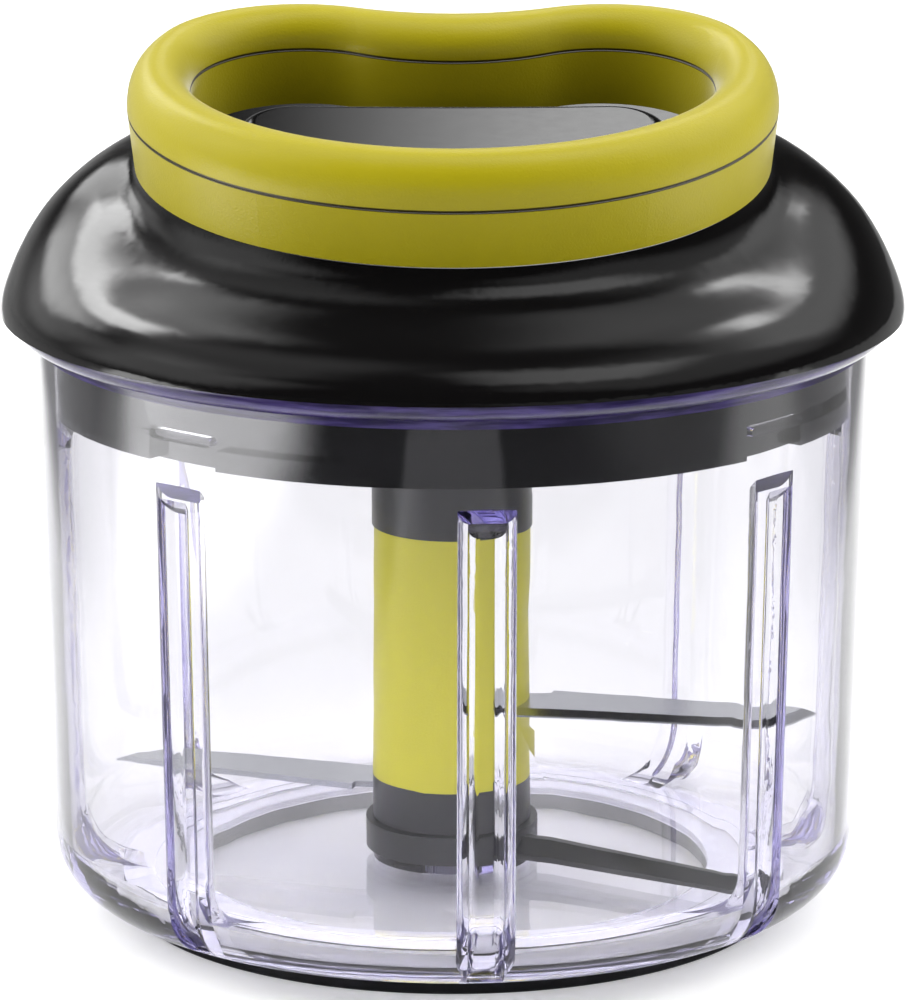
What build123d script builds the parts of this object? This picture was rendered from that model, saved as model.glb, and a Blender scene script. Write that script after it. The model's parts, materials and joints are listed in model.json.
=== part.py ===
from build123d import *
import os
from math import acos, atan, atan2, cos, degrees, hypot, pi, radians, sin, tan

# Pull-cord food chopper. Millimetres, +Z up, origin on the axis of the bowl at table level.
# -Y is the front, where the handle ring is lowest. Angles are degrees from +X, counter-clockwise.

# ---- shared clearances -------------------------------------------------------------------
RUNNING = 0.05           # radial, a shaft turning in its bearing
SLIDING = 0.3            # between bodies that part or pass each other
SEAT = 0.1               # radial, a piece pushed into its pocket
CUT = 1.0                # how far a cutting shape runs past the piece it cuts
FAR = 100.0              # outside the whole product

# ---- bowl --------------------------------------------------------------------------------
BOWL_FOOT_Z = 3.0        # underside of the bowl, where the non-slip ring is seated
BOWL_RIM_Z = 100.2       # top of the bowl's lip
BOWL_BASE_R = 65.5       # outer radius, drawn down to table level
BOWL_DRAFT = 1.23        # outward lean of the wall
BOWL_WALL = 2.6
BOWL_CORNER_R = 9.5      # outside, wall to underside
BOWL_CAVITY_CORNER_R = 7.0
FLOOR_Z = 6.8            # inside of the floor
FOOT_INSET = 1.4         # foot ring inside the bowl's rounded corner
FOOT_WIDTH = 12.2        # the floor inside the foot ring is thinner
RECESS_DEPTH = 1.2
PIN_FOOT_Z = 4.6         # bottom of the blind hole for the pivot pin
LIP_OVERHANG = 3.75      # beyond the wall at the rim
LIP_HEIGHT = 4.0
LIP_ROUND = 2.8
BOSS_R = 13.3            # raised disc round the pivot pin
BOSS_Z = 8.27

FLUTES = 8
FLUTE_ANGLE = -85.4      # first flute, just right of the front
GROOVE_WIDTH = 5.8       # outside
GROOVE_DEPTH = 2.5
GROOVE_TOP_Z = 79.5      # at the outer surface
GROOVE_CORNER_R = 1.8
GROOVE_LEDGE = 1.3       # the groove ends this far above the bowl's underside
RIB_WIDTH = 9.0          # inside
RIB_DEPTH = 5.0          # from the outer surface to the crest of the rib
RIB_CORNER_R = 11.0      # where the rib runs into the floor
RIB_ROUND = 2.2          # long edges of the crest
RIB_TOP_Z = 81.6         # at the inner surface
RIB_TOP_SLOPE = 1.05     # fall of the ends of rib and groove towards the axis

LUGS = 4
LUG_ANGLE = -40.0
LUG_LENGTH = 12.4
LUG_HEIGHT = 1.5
LUG_Z = 89.25            # centre line
LUG_REACH = 1.8          # how far a lug stands in from the wall

# ---- non-slip ring -----------------------------------------------------------------------
FOOT_ROUND = 0.8
FOOT_TONGUE_WIDTH = 2.4
FOOT_TONGUE_HEIGHT = 1.2

# ---- pivot pin and blade unit ------------------------------------------------------------
PIN_R = 3.0
PIN_TOP_Z = 60.0
PIN_ROUND = 1.8
BUSH_WALL = 2.0
BUSH_CAP = 1.6           # closed top of the bush, which rides on the pin
CORE_R = 11.2
CORE_TOP_Z = 63.3
SPIGOT_R = 9.0           # part of the core inside the cap
SPIGOT_HEIGHT = 11.0
SLEEVE_Z = 20.75         # joint between sleeve and collar
SLEEVE_TOP_R = 12.97
SLEEVE_FOOT_R = 13.2
COLLAR_Z = 13.6
COLLAR_R = 13.2
ARM_RING_R = 14.4
ARM_RING_TOP_Z = 13.4
ARM_ANGLE = -31.0
ARM_TIP_GAP = 5.5        # inside the crests of the ribs, drawn down to table level
ARM_WIDTH = 6.4
ARM_HEIGHT = 3.4
ARM_SIDE = 1.0           # height of its upright sides
ARM_CREST = (-0.15, 0.1)  # its flat crest, in shares of the width
ARM_TIP_SCALE = 0.7
CAP_R = 13.33
CAP_TOP_Z = 86.0
CAP_EDGE_ROUND = 1.0
DOG_INNER_R = 6.5
DOG_OUTER_R = 11.0
DOG_HEIGHT = 3.0
DOG_ARC = 40.0           # each of two driving dogs and of two driven dogs
CAP_PIN_R = 0.9
CAP_PIN_Z = 68.7
CAP_PIN_ANGLE = -117.0
CAP_PIN_BITE = 3.0       # how deep it goes into the core
CAP_PIN_RECESS = 0.15    # its end lies this far inside the cap's surface

BLADE_THICKNESS = 1.0
BLADE_ROOT_X = 6.5
BLADE_ROOT_CHORD = 13.0
BLADE_ROOT_TAPER = 3.5   # each side, inside the shaft
BLADE_TAB_R = 15.7       # a square tab behind the root reaches out to here
BLADE_TAB_DEPTH = 1.6
BLADE_TIP_CHORD = 9.6
BLADE_LEAD = 0.55        # share of the chord ahead of the blade's centre line
BLADE_RAKE = 4.5         # how far the tip's corner lies back along the leading edge
BLADE_BEVEL = 1.9
BLADE_BEVEL_DROP = 0.7
UPPER_BLADE_Z = 33.0
UPPER_BLADE_ANGLE = -13.0
LOWER_BLADE_Z = 17.6
LOWER_BLADE_ANGLE = 160.0
BLADE_TIP_GAP = 1.3      # from the blade's furthest corner to the ribs

# ---- lid ---------------------------------------------------------------------------------
SKIRT_GAP = 0.4          # between the skirt's foot and the bowl's wall
SKIRT_WALL = 3.5
SKIRT_FOOT_Z = 84.8
SEAL_THICKNESS = 1.0
SEAL_WIDTH = 3.9
FLANGE_THICKNESS = 1.0
FLANGE_OVERHANG = 3.3    # beyond the skirt
LID_FLOOR_Z = 91.0
LID_FLOOR_THICKNESS = 2.5
GUIDE_WALL = 2.2
GUIDE_FOOT_Z = 85.4      # collar round the top of the blade unit
HUB_R = 7.95
TRACK_HEIGHT = 2.3       # bayonet track, taller than the lug
TRACK_DEPTH = 2.0
ENTRY_WIDTH = 13.4
LOCK_TURN = 16.7         # from the open end of the track to its stop

COVER_WALL = 2.4
LIP_CLEARANCE = 0.5      # between the cover's rim and the bowl's lip
RIM_OVERHANG = 1.8       # beyond the bowl's lip
RIM_Z = 99.4
NECK_INSET = 1.4         # the handle ring overhangs the neck by this
NECK_RUN = 0.95          # share of the run done where the neck turns upright
OUTLINE_POINTS = 48      # stations round the dome
DOME_STEPS = 7           # stations up the dome
SIDE_HANDLES = (0.30, 0.45, 1.15, 0.80)    # dome curve at the sides and rear: rise, run, rise, rise
FRONT_HANDLES = (0.42, 0.55, 0.55, 0.60)   # the same at the front, where the dome is scooped out
SCOOP_FULL = 50.0        # the scoop is full this far from the front ...
SCOOP_NONE = 98.0        # ... and gone here

POST_CIRCLE_R = 50.0
POST_R = 4.0
POSTS = 4
POST_ANGLE = 45.0
SCREW_R = 1.5
SCREW_HEAD_R = 2.8
SCREW_HEAD_HEIGHT = 2.0
SCREW_LENGTH = 14.0
SCREW_HEAD_ROUND = 0.8
SCREW_POCKET = 1.2       # depth of the pocket for a lid screw's head

# ---- docking plane and handle ring -------------------------------------------------------
DOCK_Z = 123.2           # height of the docking plane on the axis
DOCK_TILT = 9.6          # it rises to the rear
HANDLE_GAP = 0.3
SEAM = 9.9               # height of the joint between the shells, square to the docking plane
SEAM_LINE_HEIGHT = 0.4   # shadow line round the joint
SEAM_LINE_DEPTH = 0.5
CREST = 6.5              # height of the upper shell on the axis ...
CREST_FALL = 0.0285      # ... and how much it falls for each millimetre to the rear
HANDLE_WALL = 2.0
HANDLE_DRAFT_INSET = 1.0
CREST_POWER = 2.2         # 2 would make the crest a half ellipse
CREST_SHARES = (0.0, 0.06, 0.18, 0.32, 0.48)    # of the bar's width, from the wall to the crest
CREST_HOLLOW = 0.4       # share of the crest's height that is hollow below
CREST_POST = 0.6         # share of the crest's height that a screw post reaches
MID_BAR = 0.5            # half way between the outer and the inner outline
# A kidney is a front point, the radii of three arcs up each side (nose, flank and lobe), the
# angles that nose and flank sweep, and the depth of the dent at the rear.
OUTER_FRONT = -49.2
OUTER_NOSE_R = 56.0
OUTER_FLANK_R = 48.0
OUTER_LOBE_R = 25.0
OUTER_SWEEPS = (33.0, 85.0)
OUTER_DENT = 4.7
INNER_FRONT = -37.2
INNER_NOSE_R = 42.5
INNER_FLANK_R = 42.5
INNER_LOBE_R = 18.0
INNER_SWEEPS = (48.0, 48.1)
INNER_DENT = 6.3
HANDLE_SCREW_SHARES = (0.14, 0.42, 0.72)       # along each side of the ring, front to rear
HANDLE_BOSS_WALL = 0.9
HANDLE_SCREW_SINK = 0.4  # a screw's head lies this far inside the handle's underside

# ---- centre cap --------------------------------------------------------------------------
CAP_FRONT = -29.5
CAP_NOSE_R = 36.0
CAP_FLANK_R = 33.0
CAP_LOBE_R = 9.5
CAP_SWEEPS = (40.0, 50.0)
CAP_DENT = 0.6
CAP_HEIGHT = 5.2
CAP_ROUND = 3.0

# ---- cord drive --------------------------------------------------------------------------
CORD_R = 1.1
CORD_V = 24.9            # where the cord passes the docking plane, along the plane
CORD_BEND_R = 5.0
EYELET_R = 3.0
EYELET_FLANGE_R = 4.2
EYELET_FLANGE = 0.8
EYELET_TAIL = 1.0        # how far it stands out inside the cover
EYELET_ROUND = 0.3
KNOT_R = 2.8
KNOT_HEIGHT = 3.0
KNOT_ROUND = 1.0
REEL_Z = 94.6
REEL_FLANGE = 2.0
REEL_FLANGE_R = 22.0
REEL_DRUM_R = 17.0
CORD_TURNS = 5           # in one layer; the top one is where the cord leaves the drum
CORD_VALLEY = 0.65       # depth of the valley between turns, in cord widths from the drum
CORD_SHOULDER = 0.3      # width of the slope beside it, in cord widths
DRIVE_DISC_R = 12.0
RATCHET_R = 11.5
RATCHET_LIFT = 1.2       # above the reel's underside
RATCHET_HEIGHT = 2.6
RATCHET_TEETH = 12
RATCHET_TOOTH = 2.0
RATCHET_POCKET_R = 14.6
RATCHET_POCKET_HEIGHT = 5.0
PAWL_THICKNESS = 2.2
PAWL_OUTLINE = ((-0.9, 0.0), (2.2, 0.2), (1.6, 4.4), (0.8, 4.4))    # from the nose back
PAWL_POST_R = 0.9
PAWL_POST = (1.2, 4.8)
PAWL_ANGLE = 1.6         # from the face of a tooth to the nose
AXLE_R = 3.0
AXLE_FOOT_GAP = 0.6      # it ends this far under the reel
ARBOR_WALL = 2.0
SPRING_CUP_R = 21.0
SPRING_CUP_WALL = 1.4
SPRING_CUP_HEIGHT = 5.4
SPRING_STRIP = 0.35
SPRING_TURNS = 6
LEG_R = 28.0
LEG_SIZE = 6.0
LEG_ANGLES = (-30.0, 210.0, 135.0)
GUIDE_POST_R = 4.6
GUIDE_POST_OFFSET = 1.0  # towards the front from the cord's bend
GUIDE_POST_RISE = 5.0    # above the bend

# ---- values worked out from the above ----------------------------------------------------
def bowl_radius(z, inset=0.0):
    """Radius of the bowl's outside, less inset, at a height."""
    return BOWL_BASE_R + z * tan(radians(BOWL_DRAFT)) - inset


LIP_R = bowl_radius(BOWL_RIM_Z) + LIP_OVERHANG
RIM_R = LIP_R + RIM_OVERHANG
SKIRT_R = bowl_radius(SKIRT_FOOT_Z, BOWL_WALL) - SKIRT_GAP
FLANGE_R = SKIRT_R + FLANGE_OVERHANG
FOOT_OUTER_R = BOWL_BASE_R - BOWL_CORNER_R - FOOT_INSET
RECESS_R = FOOT_OUTER_R - FOOT_WIDTH
FOOT_TONGUE_R = (FOOT_OUTER_R + RECESS_R) / 2
ARM_TIP_R = bowl_radius(0, RIB_DEPTH) - ARM_TIP_GAP
DOCK = Plane(
    origin=(0, 0, DOCK_Z),
    x_dir=(1, 0, 0),
    z_dir=(0, -sin(radians(DOCK_TILT)), cos(radians(DOCK_TILT))),
)
OUTER_RADII = (OUTER_NOSE_R, OUTER_FLANK_R, OUTER_LOBE_R)
INNER_RADII = (INNER_NOSE_R, INNER_FLANK_R, INNER_LOBE_R)
CAP_RADII = (CAP_NOSE_R, CAP_FLANK_R, CAP_LOBE_R)
SEAL_Z = BOWL_RIM_Z
FLANGE_Z = SEAL_Z + SEAL_THICKNESS
CORE_FOOT_Z = BOSS_Z + SLIDING
BUSH_R = PIN_R + RUNNING + BUSH_WALL
CORE_BORE_R = BUSH_R + RUNNING
GUIDE_BORE_R = CAP_R + SLIDING
HUB_BORE_R = HUB_R + RUNNING
DRIVE_Z = CAP_TOP_Z + DOG_HEIGHT + SLIDING
LID_TOP_OF_FLOOR_Z = LID_FLOOR_Z + LID_FLOOR_THICKNESS
DRUM_Z = REEL_Z + REEL_FLANGE
DRUM_HEIGHT = 2 * CORD_R * CORD_TURNS + 2 * SLIDING
CORD_LEVEL = DRUM_Z + DRUM_HEIGHT - SLIDING - CORD_R
REEL_TOP_Z = DRUM_Z + DRUM_HEIGHT + REEL_FLANGE
SPRING_CUP_Z = REEL_TOP_Z + SLIDING
HANDLE_SCREW_HEAD_Z = HANDLE_GAP + HANDLE_SCREW_SINK + SCREW_HEAD_HEIGHT
HANDLE_SCREW_TIP_Z = SEAM + CREST / 2
ARBOR_R = AXLE_R + RUNNING + ARBOR_WALL
ARBOR_TOP_Z = SPRING_CUP_Z + SPRING_CUP_HEIGHT - SPRING_CUP_WALL - SLIDING
RATCHET_Z = REEL_Z + RATCHET_LIFT
POCKET_TOP_Z = REEL_Z + RATCHET_POCKET_HEIGHT


# ---- general helpers ---------------------------------------------------------------------
def tube(inner_r, outer_r, z_low, z_high):
    """An upright tube, or a disc when inner_r is 0."""
    section = Circle(outer_r)
    if inner_r > 0:
        section -= Circle(inner_r)
    return Pos(0, 0, z_low) * extrude(section, z_high - z_low)


def turned(*points):
    """The solid of revolution of a closed (radius, height) profile."""
    return revolve(Plane.XZ * make_face(Polyline(*points, close=True)), Axis.Z)


def sector(inner_r, outer_r, low_angle, high_angle, z_low, z_high):
    """The part of an upright tube between two angles."""
    corners = [(FAR * cos(radians(angle)), FAR * sin(radians(angle))) for angle in (low_angle, high_angle)]
    wedge = extrude(make_face(Polyline((0, 0), *corners, close=True)), z_high - z_low)
    return tube(inner_r, outer_r, z_low, z_high) & Pos(0, 0, z_low) * wedge


def around(count, first_angle, shape):
    """Copies of a shape drawn on +X, evenly spaced about the axis."""
    return [Rot(0, 0, first_angle + 360 * index / count) * shape for index in range(count)]


def together(shapes):
    """Separate solids that share a node."""
    return Compound(children=list(shapes))


# ---- bowl --------------------------------------------------------------------------------
def bowl_core(inset, floor_z, corner_r, top_z):
    """The bowl's outside moved in by inset, as a plug with a rounded bottom corner."""
    profile = make_face(
        Polyline(
            (0, floor_z),
            (bowl_radius(floor_z, inset), floor_z),
            (bowl_radius(top_z, inset), top_z),
            (0, top_z),
            close=True,
        )
    )
    corner = profile.vertices().group_by(Axis.Y)[0].sort_by(Axis.X)[-1]
    return revolve(Plane.XZ * fillet(corner, corner_r), Axis.Z)


def radial_slab(width, z_low, top_z, inset):
    """A slab on +X across the wall. Its sloping top is at top_z where it meets the inset surface."""
    surface_r = bowl_radius(top_z, inset)
    inner_x = RECESS_R
    outer_x = surface_r + BOWL_WALL + RIB_DEPTH
    profile = Polyline(
        (inner_x, z_low),
        (outer_x, z_low),
        (outer_x, top_z + (outer_x - surface_r) * RIB_TOP_SLOPE),
        (inner_x, top_z - (surface_r - inner_x) * RIB_TOP_SLOPE),
        close=True,
    )
    return extrude(Plane.XZ * make_face(profile), width / 2, both=True)


def inner_long_edges(slab, width, depth):
    """The edges down both sides of a radial slab's inner face, into the corner and underneath."""
    found = []
    for edge in slab.edges():
        middle = edge.center()
        on_side = abs(abs(middle.Y) - width / 2) < SEAT
        inside = RECESS_R + CUT < middle.X < bowl_radius(middle.Z, depth) + SEAT
        if on_side and inside and middle.Z > BOWL_FOOT_Z:
            found.append(edge)
    return found


def bowl_lug():
    """A lug on +X that starts half way through the wall."""
    face_r = bowl_radius(LUG_Z, BOWL_WALL) - LUG_REACH
    face = Plane((face_r, 0, LUG_Z), x_dir=(0, 1, 0), z_dir=(1, 0, 0))
    return extrude(face * SlotOverall(LUG_LENGTH, LUG_HEIGHT), LUG_REACH + BOWL_WALL / 2)


def make_bowl():
    outside = bowl_core(0, BOWL_FOOT_Z, BOWL_CORNER_R, BOWL_RIM_Z)
    cavity = bowl_core(BOWL_WALL, FLOOR_Z, BOWL_CAVITY_CORNER_R, BOWL_RIM_Z + CUT)
    lip_z = BOWL_RIM_Z - LIP_HEIGHT
    lip = tube(bowl_radius(lip_z, BOWL_WALL), LIP_R, lip_z, BOWL_RIM_Z)
    lip = fillet(lip.edges().group_by(Axis.Z)[0].sort_by(SortBy.LENGTH)[-1], LIP_ROUND)

    rib_plug = bowl_core(RIB_DEPTH, FLOOR_Z, RIB_CORNER_R, BOWL_RIM_Z)
    half_ledge = GROOVE_LEDGE / 2
    groove_plug = bowl_core(
        GROOVE_DEPTH, BOWL_FOOT_Z + half_ledge, BOWL_CORNER_R + half_ledge, BOWL_RIM_Z
    )
    rib = (radial_slab(RIB_WIDTH, FLOOR_Z, RIB_TOP_Z, BOWL_WALL) & outside) - rib_plug
    rib = fillet(inner_long_edges(rib, RIB_WIDTH, RIB_DEPTH), RIB_ROUND)
    groove = radial_slab(GROOVE_WIDTH, BOWL_FOOT_Z + GROOVE_LEDGE, GROOVE_TOP_Z, 0) - groove_plug
    groove = fillet(inner_long_edges(groove, GROOVE_WIDTH, GROOVE_DEPTH), GROOVE_CORNER_R)

    bowl = outside + lip - cavity
    for copy in around(FLUTES, FLUTE_ANGLE, rib):
        bowl += copy
    for copy in around(FLUTES, FLUTE_ANGLE, groove):
        bowl -= copy
    for copy in around(LUGS, LUG_ANGLE, bowl_lug()):
        bowl += copy
    bowl += tube(0, BOSS_R, FLOOR_Z, BOSS_Z)
    bowl -= tube(0, RECESS_R, 0, BOWL_FOOT_Z + RECESS_DEPTH)
    bowl -= tube(0, PIN_R, PIN_FOOT_Z, BOSS_Z + CUT)
    bowl -= foot_tongue()
    return bowl


def foot_tongue():
    return tube(
        FOOT_TONGUE_R - FOOT_TONGUE_WIDTH / 2,
        FOOT_TONGUE_R + FOOT_TONGUE_WIDTH / 2,
        BOWL_FOOT_Z,
        BOWL_FOOT_Z + FOOT_TONGUE_HEIGHT,
    )


def make_non_slip_ring():
    ring = tube(RECESS_R, FOOT_OUTER_R, 0, BOWL_FOOT_Z)
    ring = fillet(ring.edges().group_by(Axis.Z)[0], FOOT_ROUND)
    return ring + foot_tongue()


def make_pivot_pin():
    pin = tube(0, PIN_R, PIN_FOOT_Z, PIN_TOP_Z)
    return fillet(pin.edges().group_by(Axis.Z)[-1], PIN_ROUND)


# ---- blade unit --------------------------------------------------------------------------
def make_pivot_bush():
    top_z = PIN_TOP_Z + SLIDING + BUSH_CAP
    bore = tube(0, PIN_R + RUNNING, 0, PIN_TOP_Z + SLIDING)
    return tube(0, BUSH_R, CORE_FOOT_Z, top_z) - bore


def blade_tip_r(z):
    return bowl_radius(z, RIB_DEPTH) - BLADE_TIP_GAP


def make_blade(z, angle):
    """A flat ground blade on +X, leading edge on the -Y side, turned into place."""
    reach = blade_tip_r(z)
    root_front = -BLADE_ROOT_CHORD * BLADE_LEAD
    tip_front = -BLADE_TIP_CHORD * BLADE_LEAD
    tip_back = tip_front + BLADE_TIP_CHORD
    tip_x = reach * cos(atan2(tip_back, reach))
    root_back = root_front + BLADE_ROOT_CHORD
    outline = Polyline(
        (BLADE_ROOT_X, root_front + BLADE_ROOT_TAPER),
        (CORE_R, root_front),
        (tip_x - BLADE_RAKE, tip_front),
        (tip_x, tip_back),
        (BLADE_TAB_R, root_back),
        (BLADE_TAB_R, root_back - BLADE_TAB_DEPTH),
        (BLADE_ROOT_X, root_back - BLADE_ROOT_TAPER),
        close=True,
    )
    blade = extrude(make_face(outline), BLADE_THICKNESS)
    top = blade.faces().sort_by(Axis.Z)[-1]
    ground = [edge for edge in top.edges() if edge.center().X > BLADE_TAB_R and edge.center().Y < 0]
    blade = chamfer(ground, BLADE_BEVEL, BLADE_BEVEL_DROP, reference=top)
    return Pos(0, 0, z) * Rot(0, 0, angle) * blade


def make_shaft_core(blades, pin):
    core = tube(0, CORE_R, CORE_FOOT_Z, CORE_TOP_Z)
    core += tube(0, SPIGOT_R, CORE_TOP_Z, CORE_TOP_Z + SPIGOT_HEIGHT)
    core -= tube(0, CORE_BORE_R, 0, PIN_TOP_Z + 2 * SLIDING + BUSH_CAP)
    for piece in [*blades, pin]:
        core -= piece
    return core


def make_shaft_sleeve(blade):
    sleeve = turned(
        (CORE_R, SLEEVE_Z), (SLEEVE_FOOT_R, SLEEVE_Z), (SLEEVE_TOP_R, CORE_TOP_Z), (CORE_R, CORE_TOP_Z)
    )
    return sleeve - blade


def make_lower_collar(blade):
    return tube(CORE_R, COLLAR_R, COLLAR_Z, SLEEVE_Z) - blade


def make_mixing_arm():
    """A ring at the foot of the shaft with one low ridged arm that sweeps the floor."""
    ring = tube(CORE_R, ARM_RING_R, CORE_FOOT_Z, ARM_RING_TOP_Z)
    half = ARM_WIDTH / 2
    left, right = ARM_CREST
    ridge = make_face(
        Polyline(
            (-half, 0),
            (half, 0),
            (half, ARM_SIDE),
            (ARM_WIDTH * right, ARM_HEIGHT),
            (ARM_WIDTH * left, ARM_HEIGHT),
            (-half, ARM_SIDE),
            close=True,
        )
    )
    arm_z = CORE_FOOT_Z + SLIDING
    root = Plane((CORE_R + CUT, 0, arm_z), x_dir=(0, 1, 0), z_dir=(1, 0, 0)) * ridge
    tip = Plane((ARM_TIP_R, 0, arm_z), x_dir=(0, 1, 0), z_dir=(1, 0, 0)) * scale(ridge, ARM_TIP_SCALE)
    return ring + Rot(0, 0, ARM_ANGLE) * loft([root, tip], ruled=True)


def dog(z_low, z_high):
    """One driving dog, centred on +X."""
    return sector(DOG_INNER_R, DOG_OUTER_R, -DOG_ARC / 2, DOG_ARC / 2, z_low, z_high)


def make_shaft_cap(pin):
    cap = tube(0, CAP_R, CORE_TOP_Z, CAP_TOP_Z)
    cap = fillet(cap.edges().group_by(Axis.Z)[-1], CAP_EDGE_ROUND)
    cap -= tube(0, SPIGOT_R, CORE_TOP_Z, CORE_TOP_Z + SPIGOT_HEIGHT)
    for copy in around(2, 0, dog(CAP_TOP_Z, CAP_TOP_Z + DOG_HEIGHT)):
        cap += copy
    return cap - pin


def make_cap_pin():
    inner_r = SPIGOT_R - CAP_PIN_BITE
    start = Plane((inner_r, 0, CAP_PIN_Z), x_dir=(0, 1, 0), z_dir=(1, 0, 0))
    pin = extrude(start * Circle(CAP_PIN_R), CAP_R - CAP_PIN_RECESS - inner_r)
    return Rot(0, 0, CAP_PIN_ANGLE) * pin


# ---- lid: seal and base ------------------------------------------------------------------
def make_lid_seal():
    inner_r = SKIRT_R + SLIDING
    return tube(inner_r, inner_r + SEAL_WIDTH, SEAL_Z, FLANGE_Z)


def bayonet_channel():
    """The L-shaped recess for a lug that stands on +X, at the open end of its track."""
    track_low_z = LUG_Z - TRACK_HEIGHT / 2
    track_top_z = LUG_Z + TRACK_HEIGHT / 2
    track_end = LOCK_TURN + degrees(ENTRY_WIDTH / 2 / SKIRT_R)
    entry = Pos(SKIRT_R, 0, 0) * extrude(Rectangle(ENTRY_WIDTH, ENTRY_WIDTH), track_top_z)
    track = sector(0, SKIRT_R + CUT, 0, track_end, track_low_z, track_top_z)
    return entry + track - tube(0, SKIRT_R - TRACK_DEPTH, 0, FLANGE_Z)


def screw_places():
    places = []
    for index in range(POSTS):
        angle = radians(POST_ANGLE + 360 * index / POSTS)
        places.append((POST_CIRCLE_R * cos(angle), POST_CIRCLE_R * sin(angle)))
    return places


def make_lid_base():
    inner_r = SKIRT_R - SKIRT_WALL
    base = turned(
        (HUB_BORE_R, LID_FLOOR_Z),
        (GUIDE_BORE_R, LID_FLOOR_Z),
        (GUIDE_BORE_R, GUIDE_FOOT_Z),
        (GUIDE_BORE_R + GUIDE_WALL, GUIDE_FOOT_Z),
        (GUIDE_BORE_R + GUIDE_WALL, LID_FLOOR_Z),
        (inner_r, LID_FLOOR_Z),
        (inner_r, SKIRT_FOOT_Z),
        (SKIRT_R, SKIRT_FOOT_Z),
        (SKIRT_R, FLANGE_Z),
        (FLANGE_R, FLANGE_Z),
        (FLANGE_R, FLANGE_Z + FLANGE_THICKNESS),
        (inner_r, FLANGE_Z + FLANGE_THICKNESS),
        (inner_r, LID_TOP_OF_FLOOR_Z),
        (HUB_BORE_R, LID_TOP_OF_FLOOR_Z),
    )
    for channel in around(LUGS, LUG_ANGLE, bayonet_channel()):
        base -= channel
    for x, y in screw_places():
        base -= Pos(x, y, 0) * tube(0, SCREW_R, LID_FLOOR_Z, LID_TOP_OF_FLOOR_Z)
        base -= Pos(x, y, 0) * tube(0, SCREW_HEAD_R, LID_FLOOR_Z, LID_FLOOR_Z + SCREW_POCKET)
    return base


def screw(head_z, length):
    """A pan-head screw on the axis, its head's face at head_z and its shank above."""
    head = tube(0, SCREW_HEAD_R, head_z - SCREW_HEAD_HEIGHT, head_z)
    head = fillet(head.edges().group_by(Axis.Z)[0], SCREW_HEAD_ROUND)
    return head + tube(0, SCREW_R, head_z, head_z + length)


def make_lid_screws():
    fitted = screw(LID_FLOOR_Z + SCREW_POCKET, SCREW_LENGTH)
    return together(Pos(x, y, 0) * fitted for x, y in screw_places())


# ---- outlines on the docking plane -------------------------------------------------------
def kidney_edges(front, radii, sweeps, dent, inset=0.0):
    """Edges of a kidney outline: tangent arcs up the right side, a dent at the rear, mirrored.

    The last arc runs on past the widest part until it meets the dent, whose radius follows
    from its depth.
    """
    x, v, heading = 0.0, front + inset, 0.0
    edges = []

    def add_arc(radius, sweep):
        nonlocal x, v, heading
        centre = (x - radius * sin(heading), v + radius * cos(heading))
        places = []
        for share in (0.5, 1.0):
            angle = heading + sweep * share
            places.append((centre[0] + radius * sin(angle), centre[1] - radius * cos(angle)))
        edges.append(ThreePointArc((x, v), places[0], places[1]))
        (x, v), heading = places[1], heading + sweep

    for radius, sweep in zip(radii, sweeps):
        add_arc(radius - inset, radians(sweep))
    lobe_r = radii[-1] - inset
    lobe_x = x - lobe_r * sin(heading)
    dent_angle = 2 * atan(dent / lobe_x)
    add_arc(lobe_r, pi + dent_angle - heading)
    add_arc(-(lobe_x / sin(dent_angle) - lobe_r), -dent_angle)
    return edges + [mirror(edge, about=Plane.YZ) for edge in edges]


def kidney(front, radii, sweeps, dent, inset=0.0):
    return make_face(kidney_edges(front, radii, sweeps, dent, inset))


def outer_kidney(inset=0.0):
    return kidney(OUTER_FRONT, OUTER_RADII, OUTER_SWEEPS, OUTER_DENT, inset)


def inner_kidney(inset=0.0):
    return kidney(INNER_FRONT, INNER_RADII, INNER_SWEEPS, INNER_DENT, inset)


def on_dock(shape, height=0.0):
    """Move a shape drawn on XY to the docking plane, height above it."""
    return DOCK * Pos(0, 0, height) * shape


# ---- lid: cover --------------------------------------------------------------------------
def blend(low, high, share):
    share = min(max(share, 0.0), 1.0)
    smooth = share * share * (3 - 2 * share)
    return low + (high - low) * smooth


def dome_curve_point(rim, neck, handles, share):
    """A point on the curve from the rim to the neck. It stands upright at both ends."""
    (rim_r, rim_z), (neck_r, neck_z) = rim, neck
    rise_1, run_2, rise_2, rise_3 = handles
    quartic = (1, 4, 6, 4, 1)
    weights = [count * share**power * (1 - share) ** (4 - power) for power, count in enumerate(quartic)]
    run = weights[2] * run_2 + weights[3] * NECK_RUN + weights[4]
    rise = weights[1] * rise_1 + weights[2] * rise_2 + weights[3] * rise_3 + weights[4]
    return rim_r + (neck_r - rim_r) * run, rim_z + (neck_z - rim_z) * rise


def dome(wall):
    """The dome as a solid, its surface wall inside the real one."""
    outline = outer_kidney(NECK_INSET + wall).face().outer_wire()
    stations = []
    for index in range(OUTLINE_POINTS):
        place = (DOCK * Pos(*(outline @ (index / OUTLINE_POINTS))) * Pos(0, 0, -wall)).position
        from_front = abs(degrees(atan2(place.X, -place.Y)))
        scoop = (SCOOP_NONE - from_front) / (SCOOP_NONE - SCOOP_FULL)
        handles = [blend(side, front, scoop) for side, front in zip(SIDE_HANDLES, FRONT_HANDLES)]
        stations.append((place, handles))
    sections = []
    for step in range(DOME_STEPS + 1):
        ring = []
        for place, handles in stations:
            neck_r = hypot(place.X, place.Y)
            rim = (RIM_R - wall, RIM_Z)
            r, z = dome_curve_point(rim, (neck_r, place.Z), handles, step / DOME_STEPS)
            ring.append((place.X * r / neck_r, place.Y * r / neck_r, z))
        sections.append(Wire([Spline(*ring, periodic=True)]))
    return Solid.make_loft(sections)


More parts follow.
